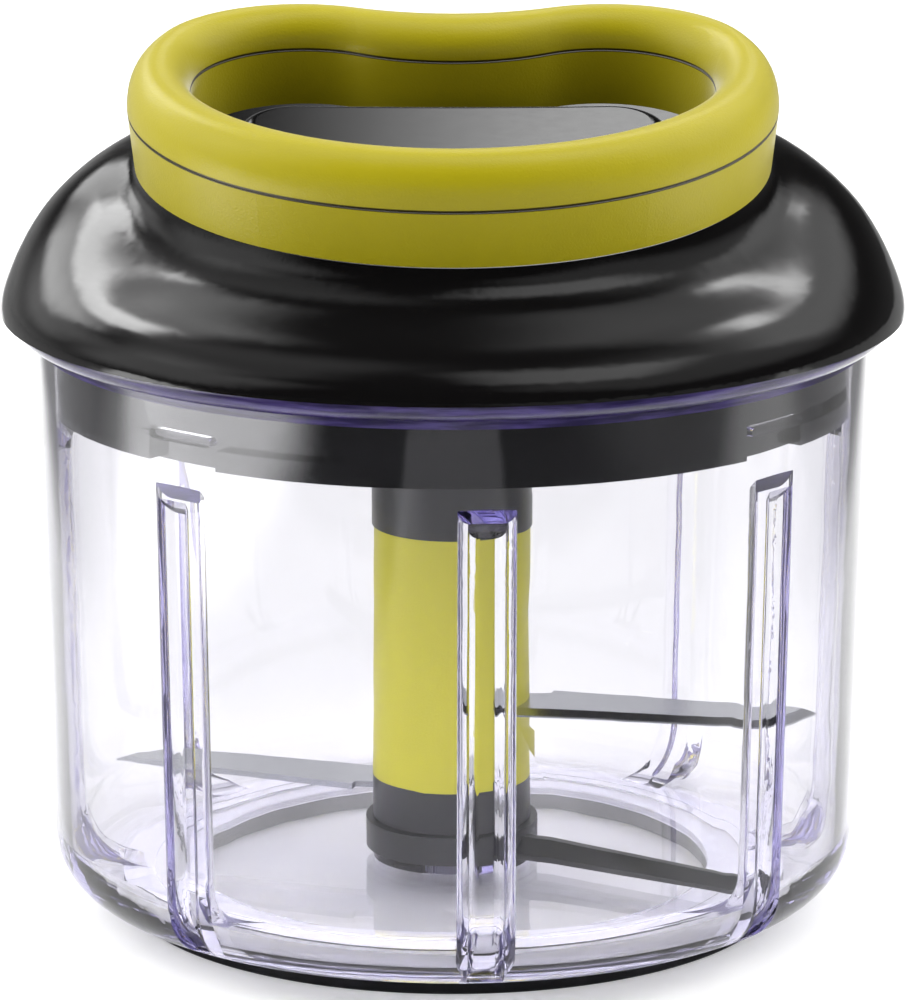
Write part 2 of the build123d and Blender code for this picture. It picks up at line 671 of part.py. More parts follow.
def make_lid_cover():
    outside = dome(0)
    cover = outside - dome(COVER_WALL)
    cover -= tube(0, LIP_R + LIP_CLEARANCE, RIM_Z - CUT, SEAL_Z + SLIDING)
    cover -= tube(0, FLANGE_R + SEAT, RIM_Z - CUT, FLANGE_Z + FLANGE_THICKNESS)
    screw_top_z = LID_FLOOR_Z + SCREW_POCKET + SCREW_LENGTH
    for x, y in screw_places():
        post = Pos(x, y, 0) * tube(0, POST_R, LID_TOP_OF_FLOOR_Z, DOCK_Z + POST_CIRCLE_R)
        cover += post & outside
        cover -= Pos(x, y, 0) * tube(0, SCREW_R, LID_TOP_OF_FLOOR_Z, screw_top_z)
    return cover - eyelet_shape(bore=False)


def make_centre_cap():
    cap = extrude(kidney(CAP_FRONT, CAP_RADII, CAP_SWEEPS, CAP_DENT), CAP_HEIGHT)
    cap = fillet(cap.edges().group_by(Axis.Z)[-1], CAP_ROUND)
    return on_dock(cap)


# ---- handle ring -------------------------------------------------------------------------
def handle_screw_places():
    edges = bar_edges(MID_BAR)
    half = Wire(edges[: len(edges) // 2])
    places = [half @ share for share in HANDLE_SCREW_SHARES]
    return [(side * place.X, place.Y) for place in places for side in (-1, 1)]


def handle_posts(z_low, z_high, radius):
    return [Pos(x, v, 0) * tube(0, radius, z_low, z_high) for x, v in handle_screw_places()]


def make_handle_lower_shell():
    foot = Pos(0, 0, HANDLE_GAP) * outer_kidney(HANDLE_DRAFT_INSET)
    seam = Pos(0, 0, SEAM) * outer_kidney()
    floor_z = HANDLE_GAP + HANDLE_WALL
    shell = loft([foot, seam], ruled=True)
    shell -= Pos(0, 0, HANDLE_GAP) * extrude(inner_kidney(), SEAM)
    channel = outer_kidney(HANDLE_DRAFT_INSET + HANDLE_WALL) - inner_kidney(-HANDLE_WALL)
    shell -= Pos(0, 0, floor_z) * extrude(channel, SEAM)
    head_r = SCREW_HEAD_R + SEAT
    for post in handle_posts(floor_z, SEAM, head_r + HANDLE_BOSS_WALL):
        shell += post
    for hole in handle_posts(0, SEAM + CUT, SCREW_R) + handle_posts(0, HANDLE_SCREW_HEAD_Z, head_r):
        shell -= hole
    shell -= Pos(0, CORD_V, 0) * tube(0, CORD_R + SLIDING, 0, floor_z)
    outer_line = outer_kidney() - outer_kidney(SEAM_LINE_DEPTH)
    inner_line = inner_kidney(-SEAM_LINE_DEPTH) - inner_kidney()
    for line in (outer_line, inner_line):
        shell -= Pos(0, 0, SEAM - SEAM_LINE_HEIGHT) * extrude(line, SEAM_LINE_HEIGHT)
    return on_dock(shell)


def bar_edges(share):
    """A kidney between the outer outline of the ring (share 0) and the inner one (share 1)."""

    def between(outer, inner):
        return outer + (inner - outer) * share

    radii = [between(outer, inner) for outer, inner in zip(OUTER_RADII, INNER_RADII)]
    sweeps = [between(outer, inner) for outer, inner in zip(OUTER_SWEEPS, INNER_SWEEPS)]
    front = between(OUTER_FRONT, INNER_FRONT)
    return kidney_edges(front, radii, sweeps, between(OUTER_DENT, INNER_DENT))


def crest_loft(shares):
    """A loft up one side of the rounded crest, through outlines at the given shares of the bar."""
    sections = []
    for share in shares:
        height = (1 - abs(1 - 2 * share) ** CREST_POWER) ** (1 / CREST_POWER)
        lean = degrees(atan(height * CREST_FALL))
        section = Rot(-lean, 0, 0) * make_face(bar_edges(share))
        sections.append(Pos(0, 0, SEAM + height * CREST) * section)
    return loft(sections)


def make_handle_upper_shell():
    ring = crest_loft(CREST_SHARES) - crest_loft([1 - share for share in CREST_SHARES])
    channel = outer_kidney(HANDLE_WALL) - inner_kidney(-HANDLE_WALL)
    ring -= Pos(0, 0, SEAM - CUT) * extrude(channel, CUT + CREST * CREST_HOLLOW)
    for post in handle_posts(SEAM, SEAM + CREST * CREST_POST, SCREW_R + 2 * HANDLE_BOSS_WALL):
        ring += post
    for hole in handle_posts(0, HANDLE_SCREW_TIP_Z, SCREW_R):
        ring -= hole
    return on_dock(ring)


def make_handle_screws():
    fitted = screw(HANDLE_SCREW_HEAD_Z, HANDLE_SCREW_TIP_Z - HANDLE_SCREW_HEAD_Z)
    return together(on_dock(Pos(x, v, 0) * fitted) for x, v in handle_screw_places())


# ---- cord drive --------------------------------------------------------------------------
def eyelet_shape(bore=True):
    depth = COVER_WALL + EYELET_TAIL
    eyelet = tube(0, EYELET_FLANGE_R, -EYELET_FLANGE, 0) + tube(0, EYELET_R, -depth, 0)
    if bore:
        eyelet -= tube(0, CORD_R + SLIDING, -depth, CUT)
        eyelet = fillet(eyelet.edges().filter_by(GeomType.CIRCLE).sort_by(Axis.Z)[-1], EYELET_ROUND)
    return on_dock(Pos(0, CORD_V, 0) * eyelet)


def cord_path():
    """Centre line from the winding out to the guide post and up to the docking plane."""
    exit_point = (DOCK * Pos(0, CORD_V, 0)).position
    lift = DOCK.z_dir
    bend = exit_point - lift * ((exit_point.Z - CORD_LEVEL) / lift.Z)
    winding_r = REEL_DRUM_R + SLIDING + CORD_R
    tangent_angle = atan2(bend.Y, bend.X) + acos(winding_r / hypot(bend.X, bend.Y))
    start = Vector(winding_r * cos(tangent_angle), winding_r * sin(tangent_angle), CORD_LEVEL)
    return start, bend, exit_point


def swept_cord(radius, start, bend, end):
    path = FilletPolyline(start, bend, end, radius=CORD_BEND_R)
    section = Plane(origin=path @ 0, z_dir=path % 0) * Circle(radius)
    return sweep(section, path=path)


def make_cord_run():
    start, bend, end = cord_path()
    return swept_cord(CORD_R, start, bend, end)


def make_pull_cord():
    return on_dock(Pos(0, CORD_V, 0) * tube(0, CORD_R, 0, HANDLE_GAP + HANDLE_WALL))


def make_cord_knot():
    low = HANDLE_GAP + HANDLE_WALL
    knot = tube(0, KNOT_R, low, low + KNOT_HEIGHT)
    return on_dock(Pos(0, CORD_V, 0) * fillet(knot.edges(), KNOT_ROUND))


def make_cord_guide():
    start, bend, end = cord_path()
    post = tube(0, GUIDE_POST_R, LID_TOP_OF_FLOOR_Z, bend.Z + GUIDE_POST_RISE)
    post = Pos(bend.X, bend.Y - GUIDE_POST_OFFSET, 0) * post
    return post - swept_cord(CORD_R + SLIDING, start, bend, end)


def make_reel():
    """The drum, with a pocket below for the ratchet and an arbor above for the spring."""
    return turned(
        (AXLE_R + RUNNING, POCKET_TOP_Z),
        (RATCHET_POCKET_R, POCKET_TOP_Z),
        (RATCHET_POCKET_R, REEL_Z),
        (REEL_FLANGE_R, REEL_Z),
        (REEL_FLANGE_R, DRUM_Z),
        (REEL_DRUM_R, DRUM_Z),
        (REEL_DRUM_R, DRUM_Z + DRUM_HEIGHT),
        (REEL_FLANGE_R, DRUM_Z + DRUM_HEIGHT),
        (REEL_FLANGE_R, REEL_TOP_Z),
        (ARBOR_R, REEL_TOP_Z),
        (ARBOR_R, ARBOR_TOP_Z),
        (AXLE_R + RUNNING, ARBOR_TOP_Z),
    )


def make_cord_winding():
    """The wound cord as one solid with a valley between its turns. The top turn's place is free."""
    width = 2 * CORD_R
    crest_r = REEL_DRUM_R + width
    valley_r = REEL_DRUM_R + width * CORD_VALLEY
    profile = [(REEL_DRUM_R, DRUM_Z)]
    for turn in range(CORD_TURNS - 1):
        z = DRUM_Z + width * turn
        profile.append((valley_r, z))
        profile.append((crest_r, z + width * CORD_SHOULDER))
        profile.append((crest_r, z + width * (1 - CORD_SHOULDER)))
    top_z = DRUM_Z + width * (CORD_TURNS - 1)
    return turned(*profile, (valley_r, top_z), (REEL_DRUM_R, top_z))


def make_drive_coupling():
    """Dogs below, a hub through the lid's floor, and a ratchet wheel on top."""
    disc_top_z = LID_FLOOR_Z - SLIDING
    coupling = tube(0, DRIVE_DISC_R, DRIVE_Z, disc_top_z) + tube(0, HUB_R, disc_top_z, RATCHET_Z)
    for copy in around(2, 90, dog(CAP_TOP_Z + SLIDING, DRIVE_Z)):
        coupling += copy
    teeth = []
    for index in range(RATCHET_TEETH):
        angle = 2 * pi * index / RATCHET_TEETH
        for r in (RATCHET_R, RATCHET_R - RATCHET_TOOTH):
            teeth.append((r * cos(angle), r * sin(angle)))
    coupling += Pos(0, 0, RATCHET_Z) * extrude(make_face(Polyline(*teeth, close=True)), RATCHET_HEIGHT)
    return coupling - tube(0, AXLE_R + RUNNING, LID_TOP_OF_FLOOR_Z, POCKET_TOP_Z)


def make_pawls():
    """Two sprung pawls in the reel's pocket, their noses by the ratchet teeth."""
    pawl = extrude(make_face(Polyline(*PAWL_OUTLINE, close=True)), PAWL_THICKNESS)
    pawl += Pos(*PAWL_POST, 0) * tube(0, PAWL_POST_R, 0, POCKET_TOP_Z - RATCHET_Z)
    return together(around(2, PAWL_ANGLE, Pos(RATCHET_R, 0, RATCHET_Z) * pawl))


def make_axle():
    return tube(0, AXLE_R, REEL_Z - AXLE_FOOT_GAP, SPRING_CUP_Z + SPRING_CUP_HEIGHT)


def make_spring_housing():
    """A shallow cup upside down over the recoil spring, on three legs."""
    top_z = SPRING_CUP_Z + SPRING_CUP_HEIGHT
    arm_height = 2 * SPRING_CUP_WALL
    cup = tube(0, SPRING_CUP_R, SPRING_CUP_Z, top_z)
    for angle in LEG_ANGLES:
        arm = Pos(LEG_R / 2, 0, top_z - arm_height / 2) * Box(LEG_R, LEG_SIZE, arm_height)
        leg = Pos(LEG_R, 0, (LID_TOP_OF_FLOOR_Z + top_z) / 2) * Box(
            LEG_SIZE / 2, LEG_SIZE, top_z - LID_TOP_OF_FLOOR_Z
        )
        cup += Rot(0, 0, angle) * (arm + leg)
    cup -= tube(0, SPRING_CUP_R - SPRING_CUP_WALL, SPRING_CUP_Z, top_z - SPRING_CUP_WALL)
    return cup - tube(0, AXLE_R, SPRING_CUP_Z, top_z)


def make_recoil_spring():
    """A flat spiral strip of half circles between the reel's arbor and the wall of its housing."""
    inner_r = ARBOR_R + SLIDING
    outer_r = SPRING_CUP_R - SPRING_CUP_WALL - SLIDING
    growth = (outer_r - inner_r - SPRING_STRIP) / (2 * SPRING_TURNS)

    def spiral(offset):
        arcs = []
        for index in range(2 * SPRING_TURNS):
            side = index % 2
            arcs.append(CenterArc((side * growth, 0), inner_r + offset + growth * index, side * 180, 180))
        return arcs

    inner_arcs = spiral(0)
    outer_arcs = spiral(SPRING_STRIP)
    ends = [
        Line(inner_arcs[0] @ 0, outer_arcs[0] @ 0),
        Line(inner_arcs[-1] @ 1, outer_arcs[-1] @ 1),
    ]
    strip = make_face(inner_arcs + outer_arcs + ends)
    height = SPRING_CUP_HEIGHT - SPRING_CUP_WALL - 2 * SLIDING
    return Pos(0, 0, SPRING_CUP_Z + SLIDING) * extrude(strip, height)


# ---- assembly ----------------------------------------------------------------------------
def build_nodes():
    cap_pin = make_cap_pin()
    upper_blade = make_blade(UPPER_BLADE_Z, UPPER_BLADE_ANGLE)
    lower_blade = make_blade(LOWER_BLADE_Z, LOWER_BLADE_ANGLE)
    return {
        "bowl": make_bowl(),
        "non_slip_ring": make_non_slip_ring(),
        "pivot_pin": make_pivot_pin(),
        "pivot_bush": make_pivot_bush(),
        "shaft_core": make_shaft_core([upper_blade, lower_blade], cap_pin),
        "shaft_sleeve": make_shaft_sleeve(upper_blade),
        "lower_collar": make_lower_collar(lower_blade),
        "shaft_cap": make_shaft_cap(cap_pin),
        "cap_pin": cap_pin,
        "upper_blade": upper_blade,
        "lower_blade": lower_blade,
        "mixing_arm": make_mixing_arm(),
        "lid_seal": make_lid_seal(),
        "lid_base": make_lid_base(),
        "lid_cover": make_lid_cover(),
        "lid_screws": make_lid_screws(),
        "centre_cap": make_centre_cap(),
        "cord_eyelet": eyelet_shape(),
        "cord_guide": make_cord_guide(),
        "cord_run": make_cord_run(),
        "spring_housing": make_spring_housing(),
        "recoil_spring": make_recoil_spring(),
        "axle": make_axle(),
        "reel": make_reel(),
        "cord_winding": make_cord_winding(),
        "pawls": make_pawls(),
        "drive_coupling": make_drive_coupling(),
        "handle_lower_shell": make_handle_lower_shell(),
        "handle_upper_shell": make_handle_upper_shell(),
        "handle_screws": make_handle_screws(),
        "cord_knot": make_cord_knot(),
        "pull_cord": make_pull_cord(),
    }


def main():
    os.makedirs("parts", exist_ok=True)
    for name, shape in build_nodes().items():
        export_step(shape, f"parts/{name}.step")
        print(name, round(shape.volume, 1))


main()
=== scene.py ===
import json
from math import cos, pi, radians, sin, tan

import bpy
from mathutils import Euler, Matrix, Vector


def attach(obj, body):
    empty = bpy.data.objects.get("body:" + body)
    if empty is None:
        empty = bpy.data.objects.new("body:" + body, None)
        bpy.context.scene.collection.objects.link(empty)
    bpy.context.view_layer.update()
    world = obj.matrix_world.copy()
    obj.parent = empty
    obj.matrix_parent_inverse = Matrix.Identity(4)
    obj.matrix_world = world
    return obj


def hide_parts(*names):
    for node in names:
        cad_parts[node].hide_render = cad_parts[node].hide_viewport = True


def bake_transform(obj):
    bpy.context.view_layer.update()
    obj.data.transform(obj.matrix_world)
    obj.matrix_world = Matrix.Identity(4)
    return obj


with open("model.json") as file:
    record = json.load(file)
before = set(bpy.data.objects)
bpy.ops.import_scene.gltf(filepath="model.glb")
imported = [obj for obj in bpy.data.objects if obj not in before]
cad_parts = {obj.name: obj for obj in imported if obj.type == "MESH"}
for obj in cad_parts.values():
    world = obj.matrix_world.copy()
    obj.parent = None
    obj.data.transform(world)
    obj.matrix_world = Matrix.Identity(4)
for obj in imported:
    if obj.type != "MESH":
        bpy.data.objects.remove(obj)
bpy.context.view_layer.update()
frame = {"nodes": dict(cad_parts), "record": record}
nodes = frame["nodes"]

# ---- sizes of the part, in metres ----------------------------------------------------------
DOCK_Z = 0.1232              # height of the docking plane on the axis
DOCK_TILT = radians(9.6)
CORD_V = 0.0249              # place of the cord along the docking plane
CORD_R = 0.0011
CORD_FOOT = -0.0030          # the braid starts inside the eyelet, below the docking plane ...
CORD_HEAD = 0.0026           # ... and ends at the knot in the handle
SEAM_HEIGHT = 0.0097         # parting line of the handle above the docking plane
SEAM_HALF_WIDTH = (0.00022, 0.00042)    # painted shade in the parting line: fully dark, and no longer dark

LIP_R = 0.0714               # outside of the bowl's lip
LIP_TOP_Z = 0.1002
LIP_ROUND = 0.0028
LIP_FOOT_Z = 0.0962
WALL_BAND_R = 0.06735        # just inside the bowl's wall under the lip
WALL_BAND_FOOT_Z = 0.0946
BAND_DEPTH = 0.00015         # the band lies this far under the lip's surface
BAND_THICKNESS = 0.0006

FOOT_TOP_Z = 0.0030          # face of the non-slip ring, under the bowl
FOOT_GAP = 0.00006           # between the ring and the bowl
FOOT_INNER_R = 0.0424
FOOT_OUTER_R = 0.0546
FOOT_ROUND = 0.0008
TONGUE_R = 0.0485            # tongue of the ring, in the bowl's groove
TONGUE_WIDTH = 0.0024
TONGUE_HEIGHT = 0.0012
ADHESIVE_Z = FOOT_TOP_Z - 2 * FOOT_GAP  # the ring is covered with adhesive from here up

CAMERA_PLACE = (0.0, -0.933956, 0.302012)
CAMERA_PITCH = radians(14.1434)
CAMERA_LENS = 211.91         # on a sensor 36 mm wide
LAMP_TARGET = Vector((0, 0, 0.08))


# ---- helpers for node trees ----------------------------------------------------------------
class Tree:
    """Adds nodes to a node tree and links them by socket name."""

    def __init__(self, tree):
        self.tree = tree
        tree.nodes.clear()

    def add(self, kind, inputs=None, **settings):
        node = self.tree.nodes.new(kind)
        for name, value in settings.items():
            setattr(node, name, value)
        for name, value in (inputs or {}).items():
            self.plug(node.inputs[name], value)
        return node

    def plug(self, socket, value):
        if isinstance(value, bpy.types.NodeSocket):
            self.tree.links.new(value, socket)
        else:
            socket.default_value = value

    def math(self, operation, first, second=0.0, clamp=False):
        node = self.add("ShaderNodeMath", {0: first, 1: second}, operation=operation)
        node.use_clamp = clamp
        return node.outputs[0]

    def product(self, first, *others):
        for other in others:
            first = self.math("MULTIPLY", first, other)
        return first

    def larger(self, first, second):
        return self.math("MAXIMUM", first, second)

    def mixed(self, share, first, second):
        return self.add("ShaderNodeMix", {0: share, 2: first, 3: second}).outputs[0]

    def smooth_step(self, value, low, high, to_low=0.0, to_high=1.0):
        node = self.add(
            "ShaderNodeMapRange",
            {"Value": value, "From Min": low, "From Max": high, "To Min": to_low, "To Max": to_high},
            interpolation_type="SMOOTHSTEP",
        )
        return node.outputs["Result"]

    def spread(self, value, to_low, to_high):
        node = self.add("ShaderNodeMapRange", {"Value": value, "To Min": to_low, "To Max": to_high})
        return node.outputs["Result"]

    def dot(self, vector, fixed):
        node = self.add("ShaderNodeVectorMath", {0: vector, 1: fixed}, operation="DOT_PRODUCT")
        return node.outputs["Value"]

    def split(self, vector):
        return self.add("ShaderNodeSeparateXYZ", {"Vector": vector}).outputs

    def noise(self, vector, scale, detail=2.0, roughness=0.5):
        node = self.add(
            "ShaderNodeTexNoise",
            {"Vector": vector, "Scale": scale, "Detail": detail, "Roughness": roughness},
        )
        return node.outputs["Fac"]

    def strands(self, rotation, scale):
        turned_place = self.place((1.0, 1.0, 1.0), rotation)
        return self.add("ShaderNodeTexWave", {"Vector": turned_place, "Scale": scale}).outputs["Fac"]

    def spot(self):
        """Object coordinates."""
        return self.add("ShaderNodeTexCoord").outputs["Object"]

    def place(self, scale=(1.0, 1.0, 1.0), rotation=(0.0, 0.0, 0.0)):
        """Object coordinates, stretched and turned."""
        node = self.add(
            "ShaderNodeMapping", {"Vector": self.spot(), "Scale": scale, "Rotation": rotation}
        )
        return node.outputs["Vector"]

    def blended(self, share, first, second):
        """Two colours, each from a socket or fixed, mixed by share."""
        node = self.add("ShaderNodeMix", {0: share, 6: first, 7: second}, data_type="RGBA")
        return node.outputs[2]

    def tint(self, share, first, second):
        return self.blended(share, (*first, 1.0), (*second, 1.0))

    def bump(self, height, distance, under=None):
        node = self.add("ShaderNodeBump", {"Height": height, "Distance": distance, "Strength": 1.0})
        if under is not None:
            self.plug(node.inputs["Normal"], under)
        return node.outputs["Normal"]


class Rays:
    """What kind of ray meets the floor or the world."""

    def __init__(self, tree):
        path = tree.add("ShaderNodeLightPath").outputs
        self.out_of_glass = path["Is Transmission Ray"]
        self.glass_faces = path["Transmission Depth"]     # faces of clear plastic that it passed
        self.mirrored = tree.math("MINIMUM", path["Glossy Depth"], 1.0)
        self.scattered = tree.math("MINIMUM", path["Diffuse Depth"], 1.0)
        self.unscattered = tree.math("LESS_THAN", path["Diffuse Depth"], 0.5)
        direct = tree.math("ADD", path["Is Camera Ray"], path["Is Glossy Ray"])
        self.seen = tree.math("ADD", direct, path["Is Transmission Ray"], clamp=True)


def shades(colour, spread):
    """A colour made darker and lighter by the same share."""
    return tuple(c * (1 - spread) for c in colour), tuple(c * (1 + spread) for c in colour)


def finished(name, build):
    """A material whose shader sockets are given by build(tree) as a dictionary."""
    material = bpy.data.materials.new(name)
    material.use_nodes = True
    tree = Tree(material.node_tree)
    shader = tree.add("ShaderNodeBsdfPrincipled", build(tree))
    output = tree.add("ShaderNodeOutputMaterial", {"Surface": shader.outputs["BSDF"]})
    return material, tree, output


# ---- materials -----------------------------------------------------------------------------
def seam_shadow(tree):
    """Mask of the painted shade: 1 in the parting line between the handle's shells, 0 elsewhere."""
    lean = (0.0, -sin(DOCK_TILT), cos(DOCK_TILT))
    height = tree.dot(tree.spot(), lean)
    off_seam = tree.math("SUBTRACT", height, DOCK_Z * cos(DOCK_TILT) + SEAM_HEIGHT)
    return tree.smooth_step(tree.math("ABSOLUTE", off_seam), *SEAM_HALF_WIDTH, 1.0, 0.0)


def moulded_plastic(name, colour, low_gloss, high_gloss, grain, seam_shade=None, **constants):
    """Injection-moulded plastic: fine grain, slow waves in colour and uneven gloss, and painted shade in
    the parting line when a shade colour is given.
    """
    colour_spread = 0.06

    def build(tree):
        spot = tree.place()
        slow = tree.noise(spot, 60.0, 3.0)
        fine = tree.noise(spot, 2600.0, 2.0)
        waves = tree.bump(slow, 0.00005)
        base = tree.tint(slow, *shades(colour, colour_spread))
        if seam_shade is not None:
            # painted shade: the colour is darkened in the parting line
            base = tree.blended(seam_shadow(tree), base, (*seam_shade, 1.0))
        sockets = {
            "Base Color": base,
            "Roughness": tree.spread(tree.noise(spot, 170.0, 4.0), low_gloss, high_gloss),
            "Normal": tree.bump(fine, grain, under=waves),
        }
        sockets.update({key.replace("_", " "): value for key, value in constants.items()})
        return sockets

    return finished(name, build)[0]


def gloss_black(name):
    """Polished black plastic with a hint of swirl and faint dust-sized specks."""

    def build(tree):
        spot = tree.place()
        slow = tree.noise(spot, 35.0, 2.0)
        specks = tree.smooth_step(tree.noise(spot, 1500.0, 1.0), 0.72, 0.80)
        swirl = tree.noise(tree.place((1.0, 1.0, 6.0)), 420.0, 5.0, 0.7)
        return {
            "Base Color": tree.tint(specks, (0.0035, 0.0032, 0.0033), (0.011, 0.0105, 0.011)),
            "Roughness": tree.spread(swirl, 0.08, 0.15),
            "Normal": tree.bump(slow, 0.000015),
            "IOR": 1.5,
        }

    return finished(name, build)[0]


def painted_edge_light(name):
    """Painted light: the violet where light that runs along the wall comes out of the clear plastic, in
    streaks.
    """

    def build(tree):
        streaks = tree.noise(tree.place((1.0, 1.0, 14.0)), 60.0, 4.0, 0.6)
        strong = tree.smooth_step(streaks, 0.35, 0.7)
        return {
            # painted light: dark to light violet along the streaks
            "Base Color": tree.tint(strong, (0.018, 0.010, 0.075), (0.080, 0.052, 0.25)),
            "Roughness": tree.spread(tree.noise(tree.place(), 300.0, 3.0), 0.10, 0.30),
            "Normal": tree.bump(streaks, 0.00005),
        }

    return finished(name, build)[0]


def clear_plastic(name):
    """Clear plastic that is faintly violet through its thickness, with fine wash marks."""
    violet = (0.55, 0.50, 0.84, 1.0)

    def build(tree):
        spot = tree.place()
        swirl = tree.noise(tree.place((1.0, 1.0, 0.35)), 900.0, 6.0, 0.75)
        return {
            "Base Color": tree.tint(tree.noise(spot, 25.0, 2.0), (0.985, 0.985, 0.992), (1.0, 1.0, 1.0)),
            "Roughness": tree.spread(swirl, 0.0, 0.022),
            "Normal": tree.bump(tree.noise(spot, 45.0, 2.0), 0.00006),
            "IOR": 1.53,
            "Transmission Weight": 1.0,
        }

    material, tree, output = finished(name, build)
    absorption = tree.add("ShaderNodeVolumeAbsorption", {"Color": violet, "Density": 26.0})
    tree.plug(output.inputs["Volume"], absorption.outputs["Volume"])
    return material


def ground_steel(name, colour, low_gloss, high_gloss, direction):
    """Ground steel: scratches along one direction, uneven gloss."""

    def build(tree):
        lines = tree.noise(tree.place(direction), 900.0, 6.0, 0.7)
        cloud = tree.noise(tree.place(), 90.0, 3.0)
        return {
            "Base Color": tree.tint(lines, *shades(colour, 0.10)),
            "Metallic": 1.0,
            "Roughness": tree.spread(cloud, low_gloss, high_gloss),
            "Normal": tree.bump(lines, 0.000008),
        }

    return finished(name, build)[0]


def rubber(name, colour, glue_z):
    """Soft black rubber with a dusty bloom and a fine matt grain, and pale adhesive from glue_z up."""

    def build(tree):
        spot = tree.place()
        bloom = tree.noise(spot, 120.0, 5.0, 0.65)
        black = tree.tint(tree.smooth_step(bloom, 0.4, 0.75), *shades(colour, 0.35))
        adhesive = tree.tint(bloom, (0.74, 0.74, 0.77), (0.84, 0.84, 0.87))
        glued = tree.math("GREATER_THAN", tree.split(spot)["Z"], glue_z)
        return {
            "Base Color": tree.blended(glued, black, adhesive),
            "Roughness": tree.spread(bloom, 0.55, 0.8),
            "Normal": tree.bump(tree.noise(spot, 3200.0, 3.0), 0.00006),
            "Specular IOR Level": 0.15,
        }

    return finished(name, build)[0]


def braided_cord(name, colour):
    """A braid: two families of diagonal strands and fibre fuzz."""

    def build(tree):
        one_way = tree.strands((0.0, 0.6, 0.3), 330.0)
        other_way = tree.strands((0.3, -0.6, 0.0), 330.0)
        weave = tree.larger(one_way, other_way)
        fuzz = tree.noise(tree.place(), 5200.0, 4.0)
        return {
            "Base Color": tree.tint(weave, *shades(colour, 0.22)),
            "Roughness": tree.spread(fuzz, 0.75, 0.95),
            "Normal": tree.bump(weave, 0.00018, under=tree.bump(fuzz, 0.00006)),
            "Sheen Weight": 0.3,
        }

    return finished(name, build)[0]


def handle_plastic(name):
    """Soft-touch green with a slight sheen, and painted shade in the parting line."""
    return moulded_plastic(
        name,
        (0.410, 0.350, 0.003),
        0.28,
        0.38,
        0.00004,
        # colour of the painted shade in the parting line
        seam_shade=(0.045, 0.032, 0.001),
        Specular_IOR_Level=0.38,
        Sheen_Weight=0.16,
        Sheen_Roughness=0.42,
        Sheen_Tint=(1.0, 0.98, 0.88, 1.0),
    )


def make_materials():
    """One material for each slot of the record, and one for the skirt."""
    return {
        "clear_plastic": clear_plastic("clear_bowl_plastic"),
        "soft_rubber": rubber("foot_rubber", (0.016, 0.016, 0.018), ADHESIVE_Z),
        "pin_steel": ground_steel("turned_steel", (0.56, 0.56, 0.57), 0.22, 0.36, (8.0, 8.0, 1.0)),
        "dark_plastic": moulded_plastic("satin_dark_plastic", (0.030, 0.030, 0.033), 0.26, 0.40, 0.00002),
        "skirt": moulded_plastic("dark_skirt_plastic", (0.006, 0.006, 0.007), 0.10, 0.18, 0.00001),
        "green_plastic": moulded_plastic("green_sleeve_plastic", (0.47, 0.435, 0.020), 0.34, 0.46, 0.00003),
        "blade_steel": ground_steel("ground_blade_steel", (0.60, 0.61, 0.64), 0.16, 0.30, (1.0, 9.0, 9.0)),
        "gloss_black": gloss_black("polished_black_plastic"),
        "white_plastic": moulded_plastic("white_acetal", (0.74, 0.74, 0.72), 0.40, 0.55, 0.00003),
        "cord": braided_cord("braided_cord", (0.70, 0.70, 0.66)),
        "olive_plastic": handle_plastic("soft_green_plastic"),
    }


def dress(name, material):
    nodes[name].data.materials.clear()
    nodes[name].data.materials.append(material)


def dress_nodes(materials):
    """Each carried-over node takes the finish of its slot, and the handle stays out of mirrors."""
    for part in frame["record"]["subparts"]:
        dress(part["node"], materials[part["material_slot"]])
    dress("lid_base", materials["skirt"])
    for name in ("handle_lower_shell", "handle_upper_shell", "handle_screws", "cord_knot"):
        nodes[name].visible_glossy = False


# ---- meshes --------------------------------------------------------------------------------
def link(name, data):
    item = bpy.data.objects.new(name, data)
    bpy.context.scene.collection.objects.link(item)
    return item


def tube_faces(rings, sides, closed):
    """Quads between rings of points; closed joins the last ring to the first."""
    faces = []
    for ring in range(rings if closed else rings - 1):
        near = ring * sides
        far = (ring + 1) % rings * sides
        for side in range(sides):
            beside = (side + 1) % sides
            faces.append((near + side, near + beside, far + beside, far + side))
    return faces


# ---- cord between the lid and the handle ---------------------------------------------------
def dock_point(x, v, height):
    """A point given on the docking plane and above it, in the row frame."""
    y = v * cos(DOCK_TILT) - height * sin(DOCK_TILT)
    z = DOCK_Z + v * sin(DOCK_TILT) + height * cos(DOCK_TILT)
    return Vector((x, y, z))


def make_pull_cord(material):
    """The last of the cord, from inside the eyelet to the knot in the handle."""
    steps = 40
    sides = 16
    points = []
    for step in range(steps + 1):
        height = CORD_FOOT + (CORD_HEAD - CORD_FOOT) * step / steps
        for side in range(sides):
            angle = 2 * pi * side / sides
            points.append(dock_point(CORD_R * cos(angle), CORD_V + CORD_R * sin(angle), height))
    mesh = bpy.data.meshes.new("pull_cord_braid")
    mesh.from_pydata(points, [], tube_faces(steps + 1, sides, closed=False))
    mesh.shade_smooth()
    mesh.materials.append(material)
    piece = link("pull_cord_braid", mesh)
    piece.visible_glossy = False
    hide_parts("pull_cord")
    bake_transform(piece)


# ---- turned pieces on the bowl -------------------------------------------------------------
def turned(name, profile, material):
    """A closed profile of (radius, height) points, turned round the axis."""
    around = 240
    points = []
    for turn in range(around):
        angle = 2 * pi * turn / around
        points += [(r * cos(angle), r * sin(angle), z) for r, z in profile]
    mesh = bpy.data.meshes.new(name)
    mesh.from_pydata(points, [], tube_faces(around, len(profile), closed=True))
    mesh.flip_normals()
    mesh.shade_smooth()
    mesh.set_sharp_from_angle(angle=radians(40))
    mesh.materials.append(material)
    piece = link(name, mesh)
    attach(piece, "bowl")
    return piece


def arc(centre, radius, start, end, steps):
    """Points on an arc, angles in degrees."""
    angles = [radians(start + (end - start) * step / steps) for step in range(steps + 1)]
    return [(centre[0] + radius * cos(a), centre[1] + radius * sin(a)) for a in angles]


